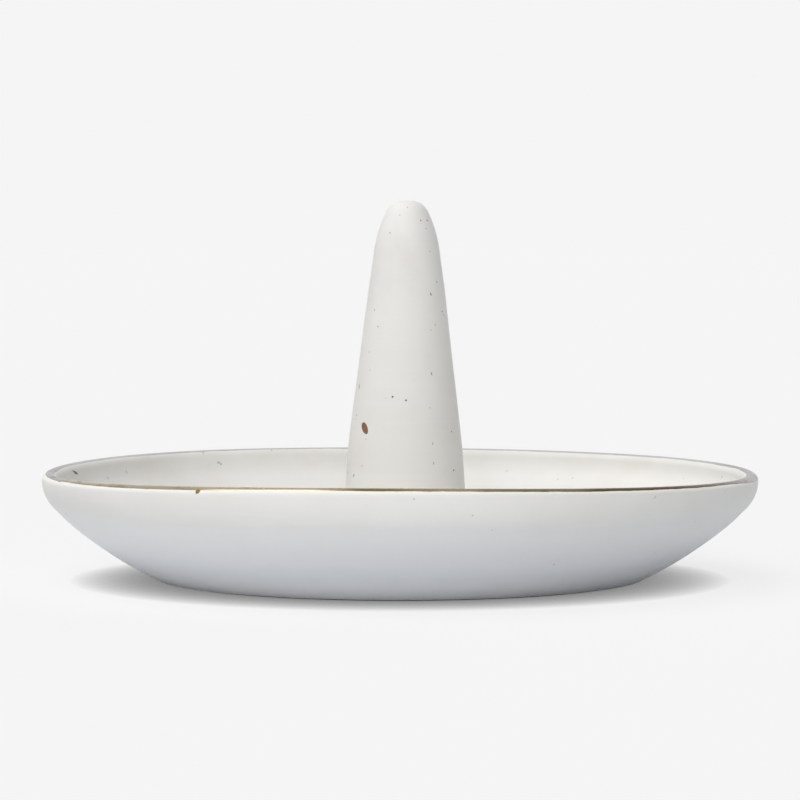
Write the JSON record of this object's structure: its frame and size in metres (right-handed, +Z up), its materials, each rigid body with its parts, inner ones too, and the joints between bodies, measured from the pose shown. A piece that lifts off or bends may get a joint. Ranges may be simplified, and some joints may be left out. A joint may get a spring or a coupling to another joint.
{
  "type": "ring dish",
  "caption": "Shallow round glazed dish with a tapered cone in the middle that holds finger rings, and a gold line round its lip.",
  "frame": {"origin": "centre of the dish's foot, on the surface that it stands on", "axes": "+Z up along the dish's axis, -Y to the front as pictured, +X to the right, the side to which the cone stands slightly off centre"},
  "size_m": [0.12, 0.12, 0.0632],
  "materials": {
    "stoneware": "bare fired stoneware, fine and dry, with a few iron specks",
    "stoneware_slip": "fired slip, smoothed by hand",
    "cream_glaze": "cream satin glaze with sparse dark iron specks",
    "gold_lustre": "fired gold lustre, painted on by hand and slightly uneven"
  },
  "bodies": {
    "root": {"dish_body": "stoneware", "ring_cone": "stoneware", "cone_joint": "stoneware_slip", "dish_glaze": "cream_glaze", "cone_glaze": "cream_glaze", "gold_rim_line": "gold_lustre"}
  },
  "joints": []
}
